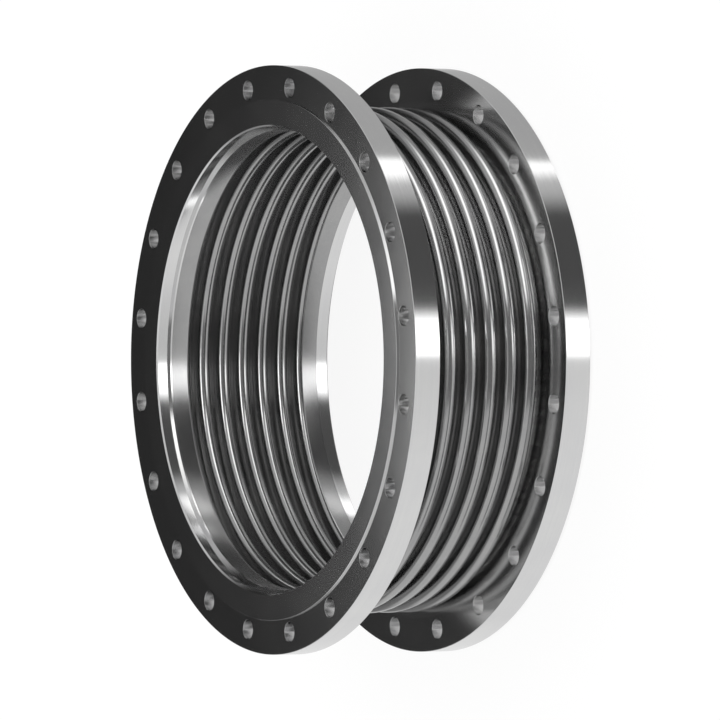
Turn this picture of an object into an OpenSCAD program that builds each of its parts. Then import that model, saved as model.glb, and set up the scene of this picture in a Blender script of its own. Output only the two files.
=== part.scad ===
// Flanged axial expansion joint, standing on its lower sealing face.
// The pipe axis is +Z, and the origin is the centre of the lower sealing face.

/* [Flanges] */
// Outside diameter of each flange
flange_d = 645; // [560:1:760]
// Width of the flange ring, from its bore to its rim
flange_w = 66.75; // [60:0.25:80]
// Thickness of each flange plate, without its raised face
plate_t = 30; // [18:1:45]
// Height of the raised sealing face
raised_h = 2; // [1:0.5:5]
// Space between the raised sealing face and the bolt holes
raised_gap = 4; // [2:0.5:8]
// Chamfer round the mouth of the bore
mouth_chamfer = 1.5; // [0.5:0.1:4]
// Chamfer that breaks the two outer corners of a plate
edge_break = 0.5; // [0.2:0.1:3]

/* [Bolt holes] */
// Distance from the rim in to the centre of each bolt hole
bolt_inset = 22.5; // [18:0.5:26]
// Number of bolt holes in each flange
bolt_count = 20; // [8:4:28]
// Diameter of each bolt hole
bolt_hole_d = 22; // [14:1:26]

/* [Bellows] */
// Wall of the bellows
wall_t = 1.5; // [0.8:0.1:2.5]
// Number of convolutions
convolutions = 6; // [2:1:12]
// Distance from one crest to the next
pitch = 25; // [20:1:36]
// Width of a crest, measured over its outside
crest_w = 15; // [10:0.5:18]
// Height of a convolution, from the inside of a root to the outside of a crest
convolution_h = 27; // [20:0.5:30]

/* [Cuffs and welds] */
// Straight length of each cuff beyond the back of its flange
cuff_reach = 3; // [2:0.5:15]
// Distance from a sealing face back to the flat weld inside the bore
face_setback = 15; // [5:0.5:17]
// Depth of the weld inside the bore
face_weld_t = 2; // [1:0.5:4]
// Leg of the fillet weld at the back of a flange
back_weld_leg = 3; // [1:0.5:6]
// Wall of the collar round a cuff
collar_t = 2; // [1:0.25:4]
// Gap between a cuff and the collar round it
cuff_gap = 0.25; // [0.1:0.05:0.5]

/* [Hidden] */

ring_fn = 180;
hole_fn = 48;
bend_fn = 48;
cut_over = 1;

flange_r = flange_d / 2;
bore_r = flange_r - flange_w;
bolt_circle_r = flange_r - bolt_inset;
raised_r = bolt_circle_r - bolt_hole_d / 2 - raised_gap;

// Collar, cuff and the tube of the bellows fit into the bore one inside the other
collar_in_r = bore_r - collar_t;
cuff_r = collar_in_r - cuff_gap;
tube_r = cuff_r - wall_t;

plate_back_z = raised_h + plate_t;
first_root_z = plate_back_z + cuff_reach;
last_root_z = first_root_z + convolutions * pitch;
overall_l = last_root_z + first_root_z;

cuff_z = face_setback + face_weld_t;
cuff_l = first_root_z - cuff_z;
fillet_leg = min(back_weld_leg, cuff_reach);

// Bend radii of the sheet: outside a crest, and in the groove outside a root
crest_r = crest_w / 2;
root_r = (pitch - crest_w) / 2;
root_centre_r = cuff_r + root_r;
crest_centre_r = tube_r + convolution_h - crest_r;
flank_l = crest_centre_r - root_centre_r;

// Turns what is drawn for the lower end over, to make the upper end
module upper_end() {
    translate([0, 0, overall_l]) mirror([0, 0, 1]) children();
}

module ring() {
    rotate_extrude($fn = ring_fn) children();
}

module flange_section() {
    polygon([
        [bore_r, plate_back_z],
        [bore_r, mouth_chamfer],
        [bore_r + mouth_chamfer, 0],
        [raised_r, 0],
        [raised_r, raised_h],
        [flange_r - edge_break, raised_h],
        [flange_r, raised_h + edge_break],
        [flange_r, plate_back_z - edge_break],
        [flange_r - edge_break, plate_back_z]
    ]);
}

// The holes straddle the centre lines, as they do on every standard flange
module bolt_holes() {
    for (i = [0 : bolt_count - 1])
        rotate([0, 0, (i + 0.5) * 360 / bolt_count])
            translate([bolt_circle_r, 0, raised_h - cut_over])
                cylinder(d = bolt_hole_d, h = plate_t + 2 * cut_over, $fn = hole_fn);
}

module flange() {
    color("silver")
        difference() {
            ring() flange_section();
            bolt_holes();
        }
}

// One half of a bend in the sheet, on the side that faces away from the axis
module half_bend(outside_r) {
    intersection() {
        difference() {
            circle(r = outside_r, $fn = bend_fn);
            circle(r = outside_r - wall_t, $fn = bend_fn);
        }
        translate([0, -outside_r]) square([outside_r, 2 * outside_r]);
    }
}

module crest_section() {
    translate([crest_centre_r, 0]) half_bend(crest_r);
    for (side = [-1, 1])
        translate([root_centre_r, side * (crest_r - wall_t / 2) - wall_t / 2])
            square([flank_l, wall_t]);
}

module root_section() {
    translate([root_centre_r, 0]) mirror([1, 0]) half_bend(root_r + wall_t);
}

// The root next to a cuff is half of a root
module end_root_section() {
    intersection() {
        root_section();
        translate([tube_r, 0]) square([root_r + wall_t, root_r + wall_t]);
    }
}

module cuff_section() {
    translate([tube_r, cuff_z]) square([wall_t, cuff_l]);
    translate([0, first_root_z]) end_root_section();
}

module bellows_section() {
    cuff_section();
    translate([0, overall_l]) mirror([0, 1]) cuff_section();
    for (i = [0 : convolutions - 1])
        translate([0, first_root_z + (i + 0.5) * pitch]) crest_section();
    for (i = [1 : convolutions - 1])
        translate([0, first_root_z + i * pitch]) root_section();
}

module bellows() {
    color("darkgray") ring() bellows_section();
}

module collar() {
    color("gray")
        ring() translate([collar_in_r, cuff_z]) square([collar_t, cuff_l]);
}

// Closes the ends of cuff and collar to the bore, and is faced off flat
module face_weld() {
    color("lightgray")
        ring() translate([tube_r, face_setback]) square([bore_r - tube_r, face_weld_t]);
}

// A fillet in the corner between the collar and the back of the flange
module back_weld() {
    color("dimgray")
        ring()
            translate([bore_r, plate_back_z])
                polygon([[0, 0], [fillet_leg, 0], [0, fillet_leg]]);
}

flange();  // lower_flange
upper_end() flange();  // upper_flange
bellows();
collar();  // lower_collar
upper_end() collar();  // upper_collar
face_weld();  // lower_face_weld
upper_end() face_weld();  // upper_face_weld
back_weld();  // lower_back_weld
upper_end() back_weld();  // upper_back_weld
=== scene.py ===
# %% [markdown]
# # A flanged axial expansion joint, dressed for its portrait
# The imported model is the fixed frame: it says where every piece is and how far it moves. This script only
# dresses it. It turns two drilled flanges, folds a bellows out of thin sheet, lays the weld beads, gives
# each steel its own finish and lights the whole like a product photograph.

import math

import bpy
from mathutils import Matrix, Vector


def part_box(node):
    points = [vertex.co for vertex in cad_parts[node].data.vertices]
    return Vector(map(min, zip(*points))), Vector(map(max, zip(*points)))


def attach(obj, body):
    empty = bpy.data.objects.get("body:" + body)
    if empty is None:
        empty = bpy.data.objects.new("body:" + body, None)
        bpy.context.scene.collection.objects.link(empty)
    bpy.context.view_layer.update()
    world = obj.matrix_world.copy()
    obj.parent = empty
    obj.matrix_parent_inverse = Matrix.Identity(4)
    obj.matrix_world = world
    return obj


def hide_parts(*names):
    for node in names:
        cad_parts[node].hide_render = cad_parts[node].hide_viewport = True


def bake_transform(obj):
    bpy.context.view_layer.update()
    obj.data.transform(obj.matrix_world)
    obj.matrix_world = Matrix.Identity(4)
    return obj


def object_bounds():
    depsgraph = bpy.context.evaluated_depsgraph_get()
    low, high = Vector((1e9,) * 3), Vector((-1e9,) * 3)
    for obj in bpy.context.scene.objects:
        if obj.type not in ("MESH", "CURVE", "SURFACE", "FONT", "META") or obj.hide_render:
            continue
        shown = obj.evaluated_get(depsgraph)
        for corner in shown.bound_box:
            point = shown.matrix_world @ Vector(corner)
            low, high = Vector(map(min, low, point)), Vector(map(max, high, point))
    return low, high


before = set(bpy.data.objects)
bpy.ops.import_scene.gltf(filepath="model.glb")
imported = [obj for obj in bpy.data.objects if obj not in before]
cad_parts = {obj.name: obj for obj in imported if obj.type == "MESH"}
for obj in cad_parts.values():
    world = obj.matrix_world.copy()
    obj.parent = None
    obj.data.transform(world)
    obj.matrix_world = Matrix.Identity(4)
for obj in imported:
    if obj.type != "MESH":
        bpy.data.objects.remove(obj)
cad_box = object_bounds()
MM = 0.001
print("CAD box in metres:", [tuple(round(c, 4) for c in corner) for corner in cad_box])

# %% [markdown]
# ## Sizes
# A maker works from a drawing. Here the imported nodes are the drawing: the rim, the bore and the heights are
# read from their boxes, and only what a box can't tell, such as a bend radius, is written down as a size.

# %% Read the sizes off the frame
flange_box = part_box("lower_flange")
collar_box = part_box("lower_collar")
bellows_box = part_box("bellows")
weld_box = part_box("lower_face_weld")

OVERALL = cad_box[1].z
RIM_R = round(flange_box[1].x, 5)
PLATE_BACK = flange_box[1].z
BORE_R = round(collar_box[1].x, 5)
CUFF_START = bellows_box[0].z
CREST_R = round(bellows_box[1].x, 5)
WELD_START, WELD_END = weld_box[0].z, weld_box[1].z

RAISED_R = 285 * MM
RAISED_H = 2 * MM
BOLT_CIRCLE_R = 300 * MM
BOLT_HOLE_R = 11 * MM
BOLT_COUNT = 20
TUBE_R = 252 * MM
WALL = 1.5 * MM
CONVOLUTIONS = 6
PITCH = 25 * MM
CREST_W = 15 * MM
FIRST_ROOT = (OVERALL - CONVOLUTIONS * PITCH) / 2
print(f"rim {RIM_R:.4f}, bore {BORE_R:.4f}, crest {CREST_R:.4f}, first root at {FIRST_ROOT:.4f}")

# %% [markdown]
# ## The camera first
# The photograph is taken with a long lens from above one side, and the camera is rolled a quarter turn, so
# that the joint, which stands on its end, lies across the picture like a wheel. The lens is long, so
# near and far flange come out almost the same size. The Standard view shows a grey as it is written.

# %% Place the camera
CAMERA_PLACE = Vector((7.5572, 0.0, 4.3899))
CAMERA_LOOK = Vector((-0.8698, 0.0, -0.4934)).normalized()
CAMERA_TOP = Vector((0, 1, 0))
CAMERA_SIDE = CAMERA_LOOK.cross(CAMERA_TOP)
LENS_MM = 394.34
SENSOR_MM = 36
NEAREST, FARTHEST = 0.1, 100


def place_camera():
    """Stands the camera where the photograph was taken from, with +Y at the top of the picture."""
    data = bpy.data.cameras.new("camera")
    data.lens, data.sensor_width = LENS_MM, SENSOR_MM
    data.clip_start, data.clip_end = NEAREST, FARTHEST
    camera = bpy.data.objects.new("camera", data)
    turn = Matrix((CAMERA_SIDE, CAMERA_TOP, -CAMERA_LOOK)).transposed()
    camera.matrix_world = Matrix.Translation(CAMERA_PLACE) @ turn.to_4x4()
    bpy.context.scene.collection.objects.link(camera)
    bpy.context.scene.camera = camera


place_camera()
bpy.context.scene.view_settings.view_transform = "Standard"
print("camera is", round(CAMERA_PLACE.length, 2), "m from the joint")

# %% [markdown]
# ## Node trees as sentences
# Geometry trees and shader trees are both wires between nodes. A small class stands for one wire and lets
# Python's own signs make the Math nodes, so `1 - mask` reads as it does on paper. Any other node comes
# from one method, which takes the node's type, its settings and what goes into its sockets.

# %% Wires and trees
def sign(operation, swapped=False):
    """One of Python's signs as a Math node. Swapped, the wire stands on the right, as in 1 - mask."""
    def method(wire, other):
        return wire.math(operation, other, wire) if swapped else wire.math(operation, wire, other)
    return method


class Wire:
    """One output socket. Adding, multiplying and so on put Math nodes into its tree."""

    def __init__(self, tree, node, socket):
        self.tree, self.node, self.socket = tree, node, socket

    def out(self, name):
        """Another output of the same node."""
        return Wire(self.tree, self.node, find_socket(self.node.outputs, name))

    def math(self, operation, *values):
        """Any other sum, with all its values named, as in x.math("ARCTAN2", y, x)."""
        return self.tree.node("ShaderNodeMath", {"operation": operation}, dict(enumerate(values)))

    __add__, __radd__ = sign("ADD"), sign("ADD", swapped=True)
    __sub__, __rsub__ = sign("SUBTRACT"), sign("SUBTRACT", swapped=True)
    __mul__, __rmul__ = sign("MULTIPLY"), sign("MULTIPLY", swapped=True)
    __truediv__, __rtruediv__ = sign("DIVIDE"), sign("DIVIDE", swapped=True)
    __pow__, __rpow__ = sign("POWER"), sign("POWER", swapped=True)

    def __neg__(self):
        return self * -1

    def __abs__(self):
        return self.math("ABSOLUTE", self)


def find_socket(sockets, key):
    """A socket by its place, its name or its identifier. Hidden twins of a name are passed over."""
    if isinstance(key, int):
        return sockets[key]
    named = [s for s in sockets if s.enabled and key in (s.identifier, s.name)]
    if not named:
        raise KeyError(f"no socket {key!r} among {[s.identifier for s in sockets]}")
    return named[0]


class Tree:
    """A node tree that is written down node by node."""

    def __init__(self, tree):
        self.tree = tree

    def node(self, kind, settings=None, inputs=None):
        """Adds a node, sets its settings first, then fills its sockets, and returns its first output."""
        made = self.tree.nodes.new(kind)
        for name, value in (settings or {}).items():
            setattr(made, name, value)
        for key, value in (inputs or {}).items():
            socket = find_socket(made.inputs, key)
            if isinstance(value, Wire):
                self.tree.links.new(value.socket, socket)
            else:
                socket.default_value = value
        shown = [s for s in made.outputs if s.enabled]
        return Wire(self, made, shown[0]) if shown else made

    def vector(self, operation, *values):
        return self.node("ShaderNodeVectorMath", {"operation": operation}, dict(enumerate(values)))

    def dot(self, one, other):
        return self.vector("DOT_PRODUCT", one, other).out("Value")

    def xyz(self, x, y, z):
        return self.node("ShaderNodeCombineXYZ", {}, {"X": x, "Y": y, "Z": z})

    def split(self, vector):
        """The x, y and z of a vector as three wires."""
        parts = self.node("ShaderNodeSeparateXYZ", {}, {0: vector})
        return parts.out("X"), parts.out("Y"), parts.out("Z")


def length(x, y):
    """The distance to the axis of a place x, y."""
    return (x * x + y * y) ** 0.5


print("trees are ready")

# %% [markdown]
# ## Geometry trees with named sizes
# Each shape gets one tree with its sizes as named inputs, like a form to fill in. A modifier knows an input
# by its identifier, so a helper looks the identifier up, fills in the sizes, bakes the result to a plain
# mesh and takes the modifier's object away again.

# %% Build, fill in and bake a geometry tree
KINDS = {float: "NodeSocketFloat", int: "NodeSocketInt"}


def new_shape(name, sizes):
    """An empty geometry tree with a geometry and a material input and one input for each size."""
    group = bpy.data.node_groups.new(name, "GeometryNodeTree")
    group.interface.new_socket("Section", in_out="INPUT", socket_type="NodeSocketGeometry")
    group.interface.new_socket("Shape", in_out="OUTPUT", socket_type="NodeSocketGeometry")
    group.interface.new_socket("Material", in_out="INPUT", socket_type="NodeSocketMaterial")
    for size, kind in sizes.items():
        group.interface.new_socket(size, in_out="INPUT", socket_type=KINDS[kind])
    tree = Tree(group)
    return tree, tree.node("NodeGroupInput")


def end_shape(tree, given, wire):
    """Every tree ends alike: real geometry, with its material on it."""
    real = tree.node("GeometryNodeRealizeInstances", {}, {"Geometry": wire})
    painted = tree.node("GeometryNodeSetMaterial", {},
                        {"Geometry": real, "Material": given.out("Material")})
    tree.node("NodeGroupOutput", {}, {"Shape": painted})
    return tree.tree


def bake(name, group, sizes, section=()):
    """Runs a geometry tree over a section, given as (radius, height) points, and keeps a plain mesh."""
    start = bpy.data.meshes.new(name + "_section")
    last = len(section) - 1
    edges = [(i, i + 1 if i < last else 0) for i in range(len(section))]
    start.from_pydata([(r, -z, 0) for r, z in section], edges, [])
    carrier = bpy.data.objects.new(name + "_section", start)
    bpy.context.scene.collection.objects.link(carrier)
    modifier = carrier.modifiers.new(name, "NODES")
    modifier.node_group = group
    for item in group.interface.items_tree:
        if item.in_out == "INPUT" and item.name in sizes:
            modifier[item.identifier] = sizes[item.name]
    done = carrier.evaluated_get(bpy.context.evaluated_depsgraph_get())
    mesh = bpy.data.meshes.new_from_object(done)
    mesh.name = name
    bpy.data.objects.remove(carrier)
    piece = bpy.data.objects.new(name, mesh)
    bpy.context.scene.collection.objects.link(piece)
    return piece


def smooth(piece, angle_deg=25):
    """Rounds the shading of gentle bends and keeps every real corner crisp."""
    mesh = piece.data
    mesh.polygons.foreach_set("use_smooth", [True] * len(mesh.polygons))
    mesh.set_sharp_from_angle(angle=math.radians(angle_deg))
    triangles = sum(len(face.vertices) - 2 for face in mesh.polygons)
    print(f"{piece.name}: {len(mesh.vertices)} points, {triangles} triangles")


print("geometry helpers are ready")

# %% [markdown]
# ## Steel, finish by finish
# Polished steel has no colour of its own to speak of: it is a mirror with a grain. What tells one steel
# from another is how dark the mirror is, how much it blurs, and which way its scratches run. So every
# finish here is one metallic shader, and the noise is stretched the way the tool went over the metal.

# %% One shader for all the steels
GRAIN_SEED_STEP = 7.3


def new_material(name):
    """A material with a bare tree."""
    material = bpy.data.materials.new(name)
    material.use_nodes = True
    material.node_tree.nodes.clear()
    return material, Tree(material.node_tree)


def new_finish(name):
    """A finish for a piece, with the place on the piece as its texture coordinate."""
    material, tree = new_material(name)
    return material, tree, tree.node("ShaderNodeTexCoord").out("Object")


def new_glow(name, brightness):
    """A material for the set that shines evenly by itself, and its glow, to build on."""
    material, tree = new_material(name)
    glow = tree.node("ShaderNodeEmission", {}, {"Color": (1, 1, 1, 1), "Strength": brightness})
    return material, tree, glow


def noise(tree, place, scale, stretch=(1, 1, 1), detail=3.0, rough=0.55, shift=0.0):
    """Noise in 1/metres, squeezed along the axes by stretch. Its value lies about 0.5."""
    moved = tree.vector("MULTIPLY_ADD", place, stretch, (shift, shift, shift))
    return tree.node("ShaderNodeTexNoise", {"noise_dimensions": "3D"},
                     {"Vector": moved, "Scale": scale, "Detail": detail, "Roughness": rough})


def fade(tree, value, low, high, at_low=0.0, at_high=1.0):
    """Runs softly from one number to another while a value goes from low to high."""
    return tree.node("ShaderNodeMapRange", {"interpolation_type": "SMOOTHSTEP"},
                     {"Value": value, "From Min": low, "From Max": high,
                      "To Min": at_low, "To Max": at_high})


def grey(tree, mask, dark, light):
    """A colour between two greys. Colours go through a Mix node, never through a Math node."""
    mix = tree.node("ShaderNodeMix", {"data_type": "RGBA"},
                    {"Factor_Float": mask, "A_Color": (*dark, 1), "B_Color": (*light, 1)})
    return mix.out("Result_Color")


def steel(tree, colour, roughness, height, depth, bright=1.0):
    """Closes a finish: colour, roughness and a height map in metres, all read from the piece itself.

    A bright steel mirrors all its light. A pickled one has a dull skin, which scatters a little of it."""
    bump = tree.node("ShaderNodeBump", {}, {"Strength": 1.0, "Distance": depth, "Height": height})
    shader = tree.node("ShaderNodeBsdfPrincipled", {},
                       {"Base Color": colour, "Metallic": bright, "Roughness": roughness, "Normal": bump})
    tree.node("ShaderNodeOutputMaterial", {}, {"Surface": shader})


print("finish helpers are ready")

# %% [markdown]
# ## The flange steel
# The flanges are turned on a lathe and finely polished, so every tool line runs round the axis: as rings
# on the faces, and as fine grooves on rim and bore. Only the bolt holes are drilled and reamed, with lines
# along the hole. Which of the two a spot has follows from its distance to the axis, and from the normal,
# which tells a face from a wall. The raised face, the back of the plate and the holes are a little softer.

# %% Make the flange steel
def flange_steel():
    material, tree, place = new_finish("flange_steel_turned")
    x, y, z = tree.split(place)
    radius = length(x, y)
    normal = tree.node("ShaderNodeNewGeometry").out("True Normal")
    on_face = fade(tree, abs(tree.split(normal)[2]), 0.5, 0.8)
    from_hole = abs(radius - BOLT_CIRCLE_R)
    by_hole = fade(tree, from_hole, BOLT_HOLE_R + 1 * MM, BOLT_HOLE_R + 3 * MM, 1.0, 0.0)
    in_hole = by_hole * (1 - on_face)

    groove = noise(tree, place, 520, stretch=(0.015, 0.015, 1), detail=4, rough=0.6)
    groove_wide = noise(tree, place, 150, stretch=(0.02, 0.02, 1), detail=2, shift=GRAIN_SEED_STEP)
    ring = noise(tree, tree.xyz(radius, 0.0, 0.0), 900, detail=4, rough=0.6)
    ream = noise(tree, place, 700, stretch=(1, 1, 0.03), detail=3, rough=0.6)
    cloud = noise(tree, place, 16, detail=4, rough=0.6, shift=2 * GRAIN_SEED_STEP)

    outside = fade(tree, radius, BORE_R + 5 * MM, RIM_R - 5 * MM, 0.4, 1.0)
    turned_wall = (groove * 0.4 + groove_wide * 0.6) * (1 - in_hole) * outside
    height = (turned_wall + ream * in_hole * 0.6) * (1 - on_face) + ring * on_face * 0.02

    raised_face = fade(tree, radius, RAISED_R, RAISED_R + 1 * MM, 1.0, 0.0) * on_face
    from_middle = abs(z - OVERALL / 2)
    back_face = fade(tree, from_middle, OVERALL / 2 - 20 * MM, OVERALL / 2 - 10 * MM, 1.0, 0.0) * on_face
    softer = raised_face * 0.015 + back_face * 0.04 + in_hole * 0.06
    roughness = 0.11 + (cloud - 0.5) * 0.02 + (groove - 0.5) * 0.03 + softer
    tone = fade(tree, cloud * 0.6 + groove * 0.4, 0.3, 0.7)
    colour = grey(tree, tone, (0.70, 0.70, 0.705), (0.74, 0.74, 0.735))
    steel(tree, colour, roughness, height, 30e-6)
    return material


FLANGE_STEEL = flange_steel()
print("made", FLANGE_STEEL.name)

# %% [markdown]
# ## The bellows steel
# The bellows is thin stainless sheet, rolled, welded to a tube and pressed out from inside. It is darker
# and softer than the flanges: the pickled skin of the sheet, with the faint lines that the forming tool
# rubs round the crests.

# %% Make the bellows steel
def bellows_steel():
    material, tree, place = new_finish("bellows_steel_formed")
    x, y, z = tree.split(place)
    rub = noise(tree, tree.xyz(length(x, y), 0.0, z), 700, detail=2, rough=0.5)
    skin = noise(tree, place, 400, detail=3, rough=0.5, shift=GRAIN_SEED_STEP)
    cloud = noise(tree, place, 22, detail=4, rough=0.6, shift=2 * GRAIN_SEED_STEP)

    height = rub * 0.35 + skin * 0.65
    roughness = 0.18 + (cloud - 0.5) * 0.03 + (skin - 0.5) * 0.02
    tone = fade(tree, cloud * 0.7 + skin * 0.3, 0.3, 0.7)
    colour = grey(tree, tone, (0.365, 0.365, 0.368), (0.415, 0.415, 0.412))
    steel(tree, colour, roughness, height, 3e-6, bright=0.96)
    return material


BELLOWS_STEEL = bellows_steel()
print("made", BELLOWS_STEEL.name)

# %% [markdown]
# ## Collar strip and weld metal
# Two small finishes are left: the collar is a plain rolled strip, and the weld is cast metal, so its skin
# is rougher, a little duller, and lightly mottled where the arc paused.

# %% Make the collar steel and the weld metal
def collar_steel():
    material, tree, place = new_finish("collar_steel_rolled")
    rolled = noise(tree, place, 420, stretch=(0.1, 0.1, 1), detail=4, rough=0.6)
    cloud = noise(tree, place, 30, detail=3, shift=GRAIN_SEED_STEP)
    roughness = 0.27 + (rolled - 0.5) * 0.1
    colour = grey(tree, fade(tree, cloud, 0.3, 0.7), (0.38, 0.38, 0.385), (0.46, 0.46, 0.455))
    steel(tree, colour, roughness, rolled, 15e-6)
    return material


def weld_metal():
    material, tree, place = new_finish("weld_metal_dressed")
    skin = noise(tree, place, 700, detail=4, rough=0.65)
    pause = noise(tree, place, 90, detail=3, shift=GRAIN_SEED_STEP)
    roughness = 0.27 + (pause - 0.5) * 0.14 + (skin - 0.5) * 0.08
    colour = grey(tree, fade(tree, pause, 0.3, 0.7), (0.40, 0.398, 0.395), (0.56, 0.558, 0.55))
    steel(tree, colour, roughness, skin, 20e-6)
    return material


COLLAR_STEEL, WELD_METAL = collar_steel(), weld_metal()
print("made", COLLAR_STEEL.name, "and", WELD_METAL.name)

# %% [markdown]
# ## A turned ring
# A lathe sweeps one section round the axis, and Curve to Mesh does the same: the section is the profile and
# a circle is the path. The Screw modifier could do it too, but inside a geometry tree the result can be
# drilled in the same breath. The section is drawn as radius and height, once round the cut metal. The
# drill is turned too: a shank that widens where it passes the plate's faces, so that one cut leaves the
# hole with both its edges broken.

# %% The tree that turns a ring and drills it
RING_STEPS = 360
DRILL_STEPS = 64
DRILL_PAST = 2 * MM
PATH_R = 0.25
SEAM = 0.02 * MM


def turned(tree, section, steps):
    """Sweeps a section round the axis. The section is shifted by the path's radius, which keeps it true."""
    path = tree.node("GeometryNodeCurvePrimitiveCircle", {}, {"Resolution": steps, "Radius": PATH_R})
    profile = tree.node("GeometryNodeTransform", {}, {"Geometry": section, "Translation": (-PATH_R, 0, 0)})
    return tree.node("GeometryNodeCurveToMesh", {}, {"Curve": path, "Profile Curve": profile})


def turned_section(tree, given):
    """Turns the section that the tree is given, in its number of steps."""
    section = tree.node("GeometryNodeMeshToCurve", {}, {"Mesh": given.out("Section")})
    return turned(tree, section, given.out("Steps"))


def joined(tree, pieces):
    """Puts several wires of geometry into one."""
    whole = tree.node("GeometryNodeJoinGeometry")
    for piece in pieces:
        tree.tree.links.new(piece.socket, whole.node.inputs[0])
    return whole


def straight(tree, r_a, z_a, r_b, z_b):
    """A straight stretch of a section. Heights are drawn downwards, as the sweep needs them."""
    return tree.node("GeometryNodeCurvePrimitiveLine", {}, {
        "Start": tree.xyz(r_a, -z_a, 0.0), "End": tree.xyz(r_b, -z_b, 0.0)})


def copies(tree, points, piece):
    """One real copy of a piece at every point."""
    spread = tree.node("GeometryNodeInstanceOnPoints", {}, {"Points": points, "Instance": piece})
    return tree.node("GeometryNodeRealizeInstances", {}, {"Geometry": spread})


def closed_seams(tree, shape):
    return tree.node("GeometryNodeMergeByDistance", {}, {"Geometry": shape, "Distance": SEAM})


def ring_tree():
    tree, given = new_shape("turn a ring", {"Steps": int})
    return end_shape(tree, given, turned_section(tree, given))


def drill(tree, hole_r, edge, bottom, top):
    """A closed drill, flared at both faces of the plate and run on past them."""
    wide = hole_r + edge + DRILL_PAST
    outline = [(0.0, top + DRILL_PAST), (wide, top + DRILL_PAST), (hole_r, top - edge),
               (hole_r, bottom + edge), (wide, bottom - DRILL_PAST), (0.0, bottom - DRILL_PAST)]
    chain = joined(tree, [straight(tree, *a, *b) for a, b in zip(outline, outline[1:])])
    return closed_seams(tree, turned(tree, chain, DRILL_STEPS))


def flange_tree():
    """Turns the plate, then sinks one drill per bolt hole, spread evenly and clear of the centre lines."""
    tree, given = new_shape("turn and drill a flange", {
        "Steps": int, "Bolt count": int, "Bolt circle radius": float, "Hole radius": float,
        "Hole edge": float, "Plate bottom": float, "Plate top": float})
    plate = turned_section(tree, given)
    one = drill(tree, given.out("Hole radius"), given.out("Hole edge"),
                given.out("Plate bottom"), given.out("Plate top"))

    count, circle_r = given.out("Bolt count"), given.out("Bolt circle radius")
    angle = (tree.node("GeometryNodeInputIndex") + 0.5) * (2 * math.pi) / count
    row = tree.node("GeometryNodeMeshLine", {"mode": "OFFSET"}, {"Count": count})
    centres = tree.node("GeometryNodeSetPosition", {}, {
        "Geometry": row, "Position": tree.xyz(
            circle_r * angle.math("COSINE", angle), circle_r * angle.math("SINE", angle), 0.0)})
    drilled = tree.node("GeometryNodeMeshBoolean", {"operation": "DIFFERENCE", "solver": "EXACT"},
                        {"Mesh 1": plate, "Mesh 2": copies(tree, centres, one)})
    return end_shape(tree, given, drilled)


RING, FLANGE = ring_tree(), flange_tree()
print("made the trees", RING.name, "and", FLANGE.name)

# %% [markdown]
# ## The two flanges
# Each flange is a flat plate with a low raised face round the bore, where the gasket sits. Nothing on a real
# machined part is knife sharp: the mouth of the bore has a clear chamfer, which catches the light as one
# bright line, and every other corner is broken by half a millimetre or less.

# %% Turn and drill the flanges
MOUTH_CHAMFER = 1.5 * MM
RIM_BREAK = 0.5 * MM
FINE_BREAK = 0.25 * MM
HOLE_BREAK = 0.15 * MM


def flange_section():
    """The cut metal of the lower flange as radius and height, clockwise, with its face at zero."""
    return [
        (BORE_R, MOUTH_CHAMFER), (BORE_R, PLATE_BACK - FINE_BREAK), (BORE_R + FINE_BREAK, PLATE_BACK),
        (RIM_R - RIM_BREAK, PLATE_BACK), (RIM_R, PLATE_BACK - RIM_BREAK),
        (RIM_R, RAISED_H + RIM_BREAK), (RIM_R - RIM_BREAK, RAISED_H),
        (RAISED_R, RAISED_H), (RAISED_R, FINE_BREAK), (RAISED_R - FINE_BREAK, 0),
        (BORE_R + MOUTH_CHAMFER, 0),
    ]


def turned_over(section):
    """The same section for the upper end, upside down, kept clockwise."""
    return [(r, OVERALL - z) for r, z in reversed(section)]


def settle(piece, node, body):
    """A finished rigid piece rides its body and takes the place of its CAD node."""
    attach(piece, body)
    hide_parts(node)


def make_flange(name, body, section, bottom, top):
    piece = bake(name + "_turned", FLANGE, {
        "Material": FLANGE_STEEL, "Steps": RING_STEPS, "Bolt count": BOLT_COUNT,
        "Bolt circle radius": BOLT_CIRCLE_R, "Hole radius": BOLT_HOLE_R, "Hole edge": HOLE_BREAK,
        "Plate bottom": bottom, "Plate top": top}, section)
    smooth(piece)
    settle(piece, name, body)


make_flange("lower_flange", "lower_end", flange_section(), RAISED_H, PLATE_BACK)
make_flange("upper_flange", "upper_end", turned_over(flange_section()),
            OVERALL - PLATE_BACK, OVERALL - RAISED_H)

# %% [markdown]
# ## The bellows
# This is the part that does the work, and it is one piece of sheet. Its section is a chain of arcs and
# straight flanks that repeats every 25 mm: over a crest, down a flank, round a root. One convolution is
# drawn from curve nodes, an instance of it stands at every pitch, and the cuffs run on at both ends. The
# chain is swept round the axis along the middle of the sheet, and a Solidify modifier gives it its wall.

# %% Draw the sheet with curve nodes
SHEET_STEPS = 216
BEND_POINTS = 11
MID_R = TUBE_R + WALL / 2
CREST_BEND = (CREST_W - WALL) / 2
ROOT_BEND = (PITCH - CREST_W + WALL) / 2
ROOT_CENTRE_R = MID_R + ROOT_BEND
CREST_CENTRE_R = CREST_R - WALL / 2 - CREST_BEND


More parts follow.
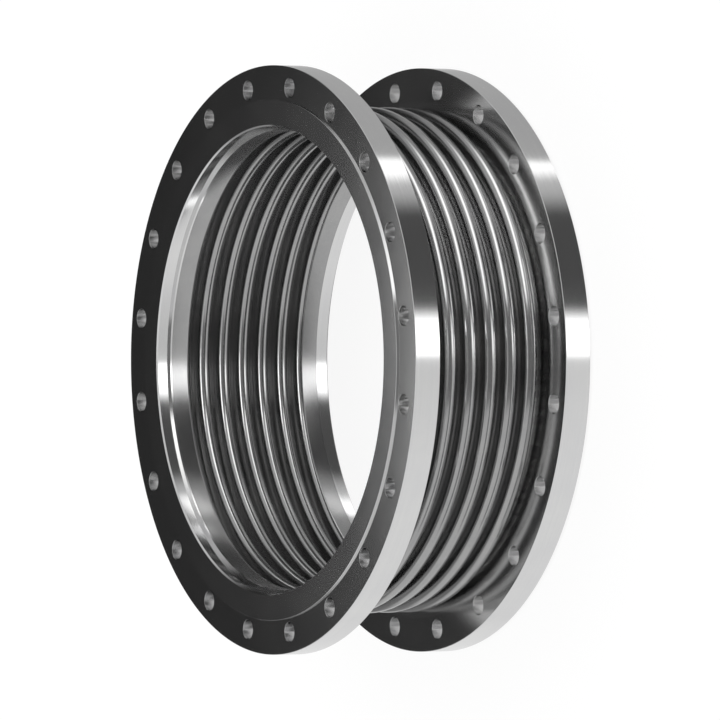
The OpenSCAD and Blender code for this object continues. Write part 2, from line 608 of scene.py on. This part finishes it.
def bellows_tree():
    tree, given = new_shape("fold a bellows", {
        "Convolutions": int, "Pitch": float, "First root": float, "Overall": float, "Cuff start": float,
        "Cuff radius": float, "Crest bend": float, "Root bend": float, "Crest centre": float,
        "Root centre": float, "Bend points": int, "Steps": int})
    pitch, overall = given.out("Pitch"), given.out("Overall")

    def bend(centre_r, centre_z, radius, start, sweep):
        """An arc in the section. Heights are drawn downwards, as the sweep needs them."""
        arc = tree.node("GeometryNodeCurveArc", {}, {
            "Resolution": given.out("Bend points"), "Radius": radius,
            "Start Angle": start, "Sweep Angle": sweep})
        return tree.node("GeometryNodeTransform", {}, {
            "Geometry": arc, "Translation": tree.xyz(centre_r, -centre_z, 0.0)})

    crest_b, root_b = given.out("Crest bend"), given.out("Root bend")
    crest_r, root_r = given.out("Crest centre"), given.out("Root centre")
    quarter = math.pi / 2
    fold = joined(tree, [
        bend(root_r, 0.0, root_b, math.pi, quarter),
        straight(tree, root_r, root_b, crest_r, root_b),
        bend(crest_r, pitch / 2, crest_b, quarter, -math.pi),
        straight(tree, crest_r, pitch - root_b, root_r, pitch - root_b),
        bend(root_r, pitch, root_b, quarter, quarter),
    ])

    line = tree.node("GeometryNodeMeshLine", {"mode": "OFFSET"}, {
        "Count": given.out("Convolutions"),
        "Start Location": tree.xyz(0.0, -given.out("First root"), 0.0),
        "Offset": tree.xyz(0.0, -pitch, 0.0)})
    folds = copies(tree, line, fold)

    cuff_r, cuff_z, root_z = given.out("Cuff radius"), given.out("Cuff start"), given.out("First root")
    sheet = joined(tree, [straight(tree, cuff_r, cuff_z, cuff_r, root_z), folds,
                          straight(tree, cuff_r, overall - root_z, cuff_r, overall - cuff_z)])
    return end_shape(tree, given, closed_seams(tree, turned(tree, sheet, given.out("Steps"))))


def wall_up(piece, wall):
    """Gives a sheet its thickness, half to each side, and bakes that too."""
    modifier = piece.modifiers.new("wall", "SOLIDIFY")
    modifier.thickness, modifier.offset = wall, 0
    modifier.use_even_offset = True
    done = piece.evaluated_get(bpy.context.evaluated_depsgraph_get())
    mesh = bpy.data.meshes.new_from_object(done)
    piece.modifiers.clear()
    piece.data = mesh
    mesh.name = piece.name


BELLOWS = bellows_tree()
bellows = bake("bellows_folded", BELLOWS, {
    "Material": BELLOWS_STEEL, "Convolutions": CONVOLUTIONS, "Pitch": PITCH, "First root": FIRST_ROOT,
    "Overall": OVERALL, "Cuff start": CUFF_START, "Cuff radius": MID_R, "Crest bend": CREST_BEND,
    "Root bend": ROOT_BEND, "Crest centre": CREST_CENTRE_R, "Root centre": ROOT_CENTRE_R,
    "Bend points": BEND_POINTS, "Steps": SHEET_STEPS})
wall_up(bellows, WALL)
smooth(bellows, angle_deg=40)
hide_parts("bellows")
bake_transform(bellows)

# %% [markdown]
# ## Collars and face welds
# A collar fills the gap between cuff and bore, and a weld closes the end of both. The weld is faced off flat
# in the lathe, so it shows as a plain step inside the mouth, as bright as the flange. The collar's CAD ring
# has the right shape already and only needs its finish; the face weld is turned again, so that its inner
# wall runs on into the cuff without facets.

# %% Finish the collars and turn the face welds
FACE_WELD_SECTION = [(TUBE_R, WELD_START), (TUBE_R, WELD_END), (BORE_R, WELD_END), (BORE_R, WELD_START)]


def refinish(node, material):
    """A CAD node keeps its mesh and gets a new material in its own slots."""
    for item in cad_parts[node].material_slots:
        item.material = material
    print(node, "has", material.name)


def make_face_weld(node, body, section):
    piece = bake(node + "_faced", RING, {"Material": FLANGE_STEEL, "Steps": RING_STEPS}, section)
    smooth(piece)
    settle(piece, node, body)


refinish("lower_collar", COLLAR_STEEL)
refinish("upper_collar", COLLAR_STEEL)
make_face_weld("lower_face_weld", "lower_end", FACE_WELD_SECTION)
make_face_weld("upper_face_weld", "upper_end", turned_over(FACE_WELD_SECTION))

# %% [markdown]
# ## The back welds
# Behind each flange a fillet weld ties the collar to the plate. A weld is laid in overlapping pools,
# so it is a row of small scales. The bead is swept like the rings, and each point of it is then drawn
# towards the axis by a saw-like wave that runs round, but never where it meets collar or plate.

# %% Lay the back welds
BEAD_LEG = 3 * MM
BEAD_STEPS = 1080
BEAD_POINTS = 7
BEAD_FLATTEST, BEAD_FULLER = 0.80, 0.08
SCALES_ROUND = 420
SCALE_DEPTH = 0.25 * MM


def bead_tree():
    tree, given = new_shape("lay a fillet weld", {"Steps": int, "Scales": int, "Scale depth": float,
                                                  "Root radius": float, "Root height": float})
    ring = turned_section(tree, given)
    x, y, z = tree.split(tree.node("GeometryNodeInputPosition"))
    turns = x.math("ARCTAN2", y, x) / (2 * math.pi)
    scales = turns * given.out("Scales")
    saw = scales.math("FRACT", scales)

    radius, depth = length(x, y), given.out("Scale depth")
    from_collar = radius - given.out("Root radius")
    from_plate = abs(z - given.out("Root height"))
    proud = from_collar.math("MINIMUM", from_collar, from_plate) / depth
    sink = saw * proud.math("MINIMUM", proud, 1.0) * depth
    inwards = tree.node("ShaderNodeVectorMath", {"operation": "SCALE"},
                        {0: tree.xyz(x, y, 0.0), "Scale": -sink / radius})
    moved = tree.node("GeometryNodeSetPosition", {}, {"Geometry": ring, "Offset": inwards})
    return end_shape(tree, given, moved)


def bead_section():
    """A quarter-round bead, a little flattened, in the corner of collar and plate."""
    points = [(BORE_R, PLATE_BACK)]
    for i in range(BEAD_POINTS):
        turn = math.pi / 2 * i / (BEAD_POINTS - 1)
        bulge = BEAD_FLATTEST + BEAD_FULLER * abs(math.cos(2 * turn))
        reach = BEAD_LEG * (bulge if 0 < i < BEAD_POINTS - 1 else 1)
        points.append((BORE_R + reach * math.sin(turn), PLATE_BACK + reach * math.cos(turn)))
    return points


def make_bead(node, body, section, root_z):
    piece = bake(node + "_bead", BEAD, {
        "Material": WELD_METAL, "Steps": BEAD_STEPS, "Scales": SCALES_ROUND,
        "Scale depth": SCALE_DEPTH, "Root radius": BORE_R, "Root height": root_z}, section)
    smooth(piece, angle_deg=50)
    settle(piece, node, body)


BEAD = bead_tree()
make_bead("lower_back_weld", "lower_end", bead_section(), PLATE_BACK)
make_bead("upper_back_weld", "upper_end", turned_over(bead_section()), OVERALL - PLATE_BACK)

# %% [markdown]
# ## The floor
# The joint stands on a plain white table. Most of the table's white is its own glow, so it reads as paper,
# and the rest is light that the joint can block: that leaves its soft shadow. The steel doesn't mirror this
# table. It mirrors the one in the studio of the next step.

# %% Lay the floor
FLOOR_HALF = 30.0
FLOOR_DROP = 0.5 * MM
FLOOR_GLOW, FLOOR_PAPER = 0.86, 0.16


def stand_sheet(name, corners, material):
    """A flat four-cornered sheet of the set, such as the floor. It isn't part of the joint."""
    mesh = bpy.data.meshes.new(name)
    mesh.from_pydata([tuple(corner) for corner in corners], [], [(0, 1, 2, 3)])
    mesh.materials.append(material)
    sheet = bpy.data.objects.new(name, mesh)
    bpy.context.scene.collection.objects.link(sheet)
    return sheet


def lay_floor():
    material, tree, glow = new_glow("floor_white", FLOOR_GLOW)
    paper = tree.node("ShaderNodeBsdfDiffuse", {}, {"Color": (FLOOR_PAPER, FLOOR_PAPER, FLOOR_PAPER, 1)})
    both = tree.node("ShaderNodeAddShader", {}, {0: glow, 1: paper})
    tree.node("ShaderNodeOutputMaterial", {}, {"Surface": both})
    signs = ((-1, -1), (1, -1), (1, 1), (-1, 1))
    floor = stand_sheet("floor", [(x * FLOOR_HALF, y * FLOOR_HALF, 0) for x, y in signs], material)
    floor.location.z = -FLOOR_DROP
    floor.visible_glossy = False


lay_floor()
print("floor laid")

# %% [markdown]
# ## The studio
# Metal shows the room and little else, so the light for it is a matter of what stands where. In the
# photograph the studio stands upright, so its directions are counted from the camera: turn goes round the
# picture's own upright, with 0 behind the camera and 90 to its right, and height goes up the picture.
# Around the joint is a pale wall with a white table below. In front of both hang cards, and each hides
# what is behind it: a black flag shows near 0 and a soft box above 1. Their places were guessed from the
# bands on the steel, fitted to the greys of the photograph and rounded. Only the steel sees this room.
# To the camera and to anything matt the world is plain white.

# %% Hang the flags and the soft boxes
WALL_SHADE, TABLE_SHADE = 0.68, 0.85
TABLE_EDGE_DEG = 20
CARDS = {
    # turn, height, half width, half height and soft edge in degrees, then brightness
    "back_wall": (170, 42, 46, 35, 10, 0.46),
    "left_soft_box": (-88, 4, 18, 10, 4, 0.8),
    "left_lamp": (-49, 8, 9, 9, 2, 5.0),
    "top_soft_box": (7, 56, 12, 42, 14, 3.3),
    "strip_soft_box": (64, 10, 16, 8, 2, 2.7),
    "upper_flag": (71, 33, 14, 19, 5, 0.08),
    "small_reflector": (98, 60, 7, 3, 1, 1.6),
    "far_flag": (126, -4, 29, 38, 10, 0.09),
    "camera_flag": (13, 3, 36, 21, 3, 0.25),
    "low_left_flag": (-122, -32, 38, 18, 8, 0.30),
    "left_flag": (-129, 14, 33, 33, 10, 0.025),
    "low_right_flag": (49, -37, 8, 37, 6, 0.17),
}


def in_degrees(wire):
    return wire * (180 / math.pi)


def card_mask(tree, seen, turn, height, half_w, half_h, edge):
    """1 inside a card's rectangle of directions and 0 outside, with a soft edge."""
    t, h = math.radians(turn), math.radians(height)
    ahead = tree.dot(seen, (math.cos(h) * math.cos(t), math.cos(h) * math.sin(t), math.sin(h)))
    aside = tree.dot(seen, (-math.sin(t), math.cos(t), 0))
    above = tree.dot(seen, (-math.sin(h) * math.cos(t), -math.sin(h) * math.sin(t), math.cos(h)))
    across = in_degrees(abs(aside.math("ARCTAN2", aside, ahead)))
    upright = in_degrees(abs(above.math("ARCSINE", above)))
    in_width = fade(tree, across, half_w - edge, half_w + edge, 1.0, 0.0)
    in_height = fade(tree, upright, half_h - edge, half_h + edge, 1.0, 0.0)
    return in_width * in_height


def build_studio():
    world = bpy.data.worlds.new("studio")
    bpy.context.scene.world = world
    world.use_nodes = True
    world.node_tree.nodes.clear()
    tree = Tree(world.node_tree)
    way = tree.node("ShaderNodeTexCoord").out("Generated")
    ahead, right, up = [tree.dot(way, tuple(axis)) for axis in (-CAMERA_LOOK, CAMERA_SIDE, CAMERA_TOP)]
    seen = tree.xyz(ahead, right, up)
    above_table = in_degrees(up.math("ARCSINE", up))
    room = fade(tree, above_table, -TABLE_EDGE_DEG, TABLE_EDGE_DEG, TABLE_SHADE, WALL_SHADE)
    for *place, brightness in CARDS.values():
        mask = card_mask(tree, seen, *place)
        room = room * (1 - mask) + mask * brightness
    ray = tree.node("ShaderNodeLightPath")
    glossy, through = ray.out("Is Glossy Ray"), ray.out("Is Transmission Ray")
    from_steel = glossy.math("MAXIMUM", glossy, through)
    level = room * from_steel + (1 - from_steel)
    light = tree.node("ShaderNodeBackground", {}, {"Color": (1, 1, 1, 1), "Strength": level})
    tree.node("ShaderNodeOutputWorld", {}, {"Surface": light})
    # A lamp sample of the world can't tell steel from paper, and would bring the white into the steel.
    world.cycles.sampling_method = "NONE"
    print("studio has", len(CARDS), "cards:", ", ".join(CARDS))


build_studio()

# %% [markdown]
# ## One panel close by
# The near flange's face is a flat mirror. Where it turns paler at its side, the edge of a lit panel is
# mirrored. A far card can't do that, as it would light both flanges alike, so this panel is a real one, two
# metres away. Its place is counted along the mirrored view and across it. Only the steel sees it.

# %% Stand the panel
PANEL_AWAY = 2.1
PANEL_EDGE, PANEL_END = 0.40, 0.70
PANEL_HALF_HEIGHT = 0.6
PANEL_GLOW = 1.4


def stand_panel():
    mirrored = Vector((CAMERA_LOOK.x, CAMERA_LOOK.y, -CAMERA_LOOK.z))
    across = CAMERA_TOP.cross(mirrored)
    foot = mirrored * PANEL_AWAY - CAMERA_TOP * PANEL_HALF_HEIGHT
    head = mirrored * PANEL_AWAY + CAMERA_TOP * PANEL_HALF_HEIGHT
    corners = [foot + across * PANEL_EDGE, foot + across * PANEL_END,
               head + across * PANEL_END, head + across * PANEL_EDGE]
    material, tree, glow = new_glow("panel_white", PANEL_GLOW)
    tree.node("ShaderNodeOutputMaterial", {}, {"Surface": glow})
    panel = stand_sheet("panel", corners, material)
    panel.visible_camera = False
    panel.visible_diffuse = False
    panel.visible_shadow = False
    print("panel stands at", [round(c, 2) for c in (corners[0] + corners[2]) / 2])


stand_panel()
